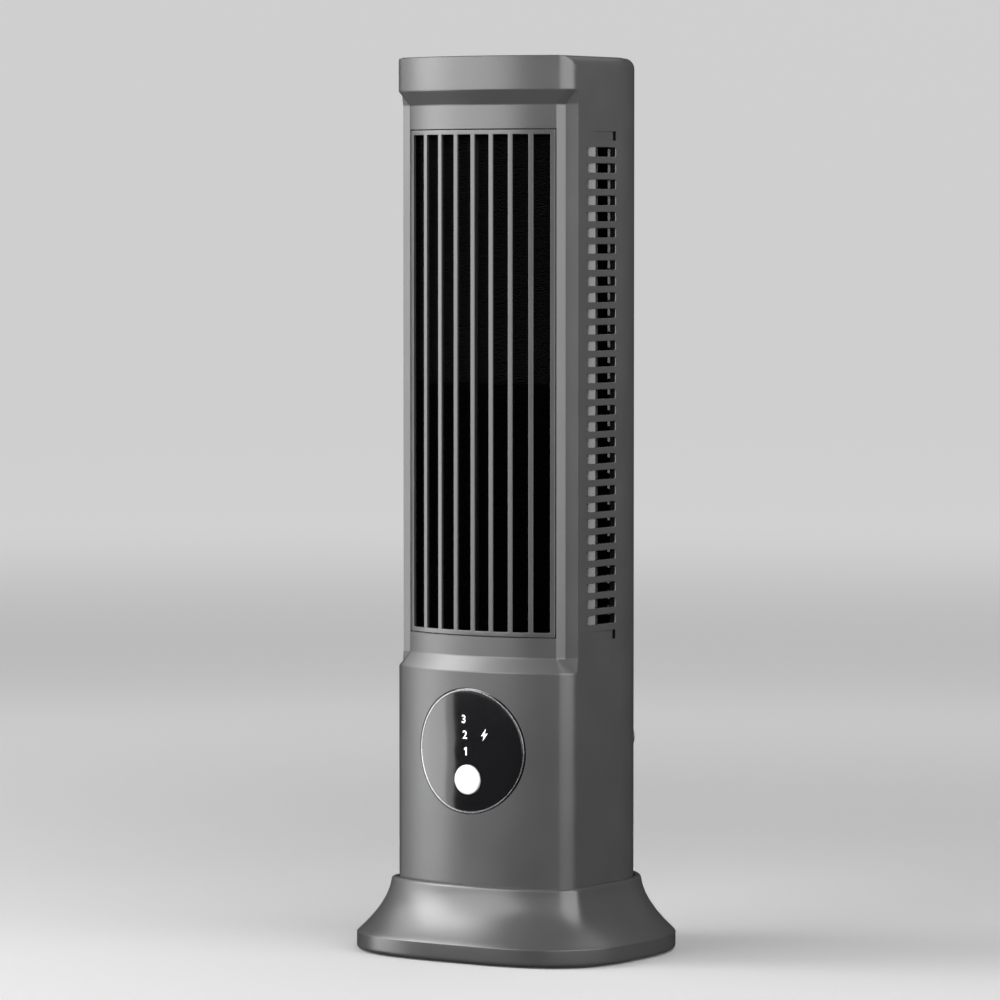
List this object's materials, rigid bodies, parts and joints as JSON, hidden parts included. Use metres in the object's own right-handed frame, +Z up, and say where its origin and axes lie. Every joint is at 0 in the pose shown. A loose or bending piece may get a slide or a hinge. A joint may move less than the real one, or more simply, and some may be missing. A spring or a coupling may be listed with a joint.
{
  "type": "desk tower fan",
  "caption": "Rechargeable desk tower fan: a square column with an upright cross-flow impeller behind a slim-bar outlet grille, on a flared foot, with a round glossy panel and a push button.",
  "frame": {"origin": "on the floor, under the centre of the foot", "axes": "+Z up the column, -Y out of the air outlet, +X to the right of someone facing the back of the outlet's plane, that is to the right seen from the front"},
  "size_m": [0.102, 0.0914, 0.3],
  "materials": {
    "graphite_body": "fine satin moulding texture",
    "graphite_rear": "fine satin moulding texture",
    "graphite_grille": "satin",
    "graphite_foot": "fine satin moulding texture",
    "plate_plastic": "plain moulded",
    "lens_black": "mirror gloss",
    "bright_ring": "bright plated",
    "button_white": "soft gloss",
    "impeller_black": "moulded",
    "ballast_steel": "rolled plate",
    "plated_steel": "plated sheet",
    "rotor_steel": "laminations and copper windings",
    "board_green": "solder mask",
    "rubber_black": "plain rubber",
    "screw_steel": "black oxide",
    "cell_sleeve": "printed-free blue shrink sleeve",
    "duct_plastic": "moulded",
    "black_nylon": "moulded nylon",
    "lamp_white": "lamp body",
    "clear_guide": "clear light guide",
    "wire_red": "insulated wire"
  },
  "bodies": {
    "column": {"ballast": "ballast_steel", "battery_cell_1": "cell_sleeve", "battery_cell_2": "cell_sleeve", "battery_cradle": "black_nylon", "battery_lead": "wire_red", "board_screw_1": "screw_steel", "board_screw_2": "screw_steel", "charge_socket": "plated_steel", "chassis_plate": "black_nylon", "column_screw_1": "screw_steel", "column_screw_2": "screw_steel", "column_screw_3": "screw_steel", "column_screw_4": "screw_steel", "control_board": "board_green", "cover_screw_1": "screw_steel", "cover_screw_2": "screw_steel", "cover_screw_3": "screw_steel", "cover_screw_4": "screw_steel", "duct_ceiling": "duct_plastic", "duct_floor": "duct_plastic", "duct_wall_left": "duct_plastic", "duct_wall_right": "duct_plastic", "foot_pad_1": "rubber_black", "foot_pad_2": "rubber_black", "foot_pad_3": "rubber_black", "foot_pad_4": "rubber_black", "foot_plate": "plate_plastic", "foot_screw_1": "screw_steel", "foot_screw_2": "screw_steel", "foot_screw_3": "screw_steel", "foot_screw_4": "screw_steel", "foot_shell": "graphite_foot", "grille": "graphite_grille", "guide_1": "clear_guide", "guide_2": "clear_guide", "guide_3": "clear_guide", "guide_charge": "clear_guide", "housing": "graphite_body", "lamp_1": "lamp_white", "lamp_2": "lamp_white", "lamp_3": "lamp_white", "lamp_charge": "lamp_white", "motor_can": "plated_steel", "motor_cap": "black_nylon", "motor_lead": "wire_red", "motor_screw_1": "screw_steel", "motor_screw_2": "screw_steel", "panel_lens": "lens_black", "panel_ring": "bright_ring", "port_board": "board_green", "port_surround": "graphite_body", "push_switch": "impeller_black", "rear_cover": "graphite_rear", "top_bearing": "rubber_black"},
    "impeller_set": {"impeller": "impeller_black", "hub_bush": "rubber_black", "rotor": "rotor_steel", "top_pin": "plated_steel"},
    "button": {"power_button": "button_white"}
  },
  "joints": [
    {"name": "impeller_spin", "type": "hinge", "parent": "column", "child": "impeller_set", "pos_m": [0, 0.0067, 0.184], "axis": [0, 0, 1], "continuous": true},
    {"name": "power_button_press", "type": "slide", "parent": "column", "child": "button", "axis": [0, 1, 0], "range_m": [0, 0.0008], "stiffness_N_per_m": 800, "springref_m": -0.0005}
  ]
}
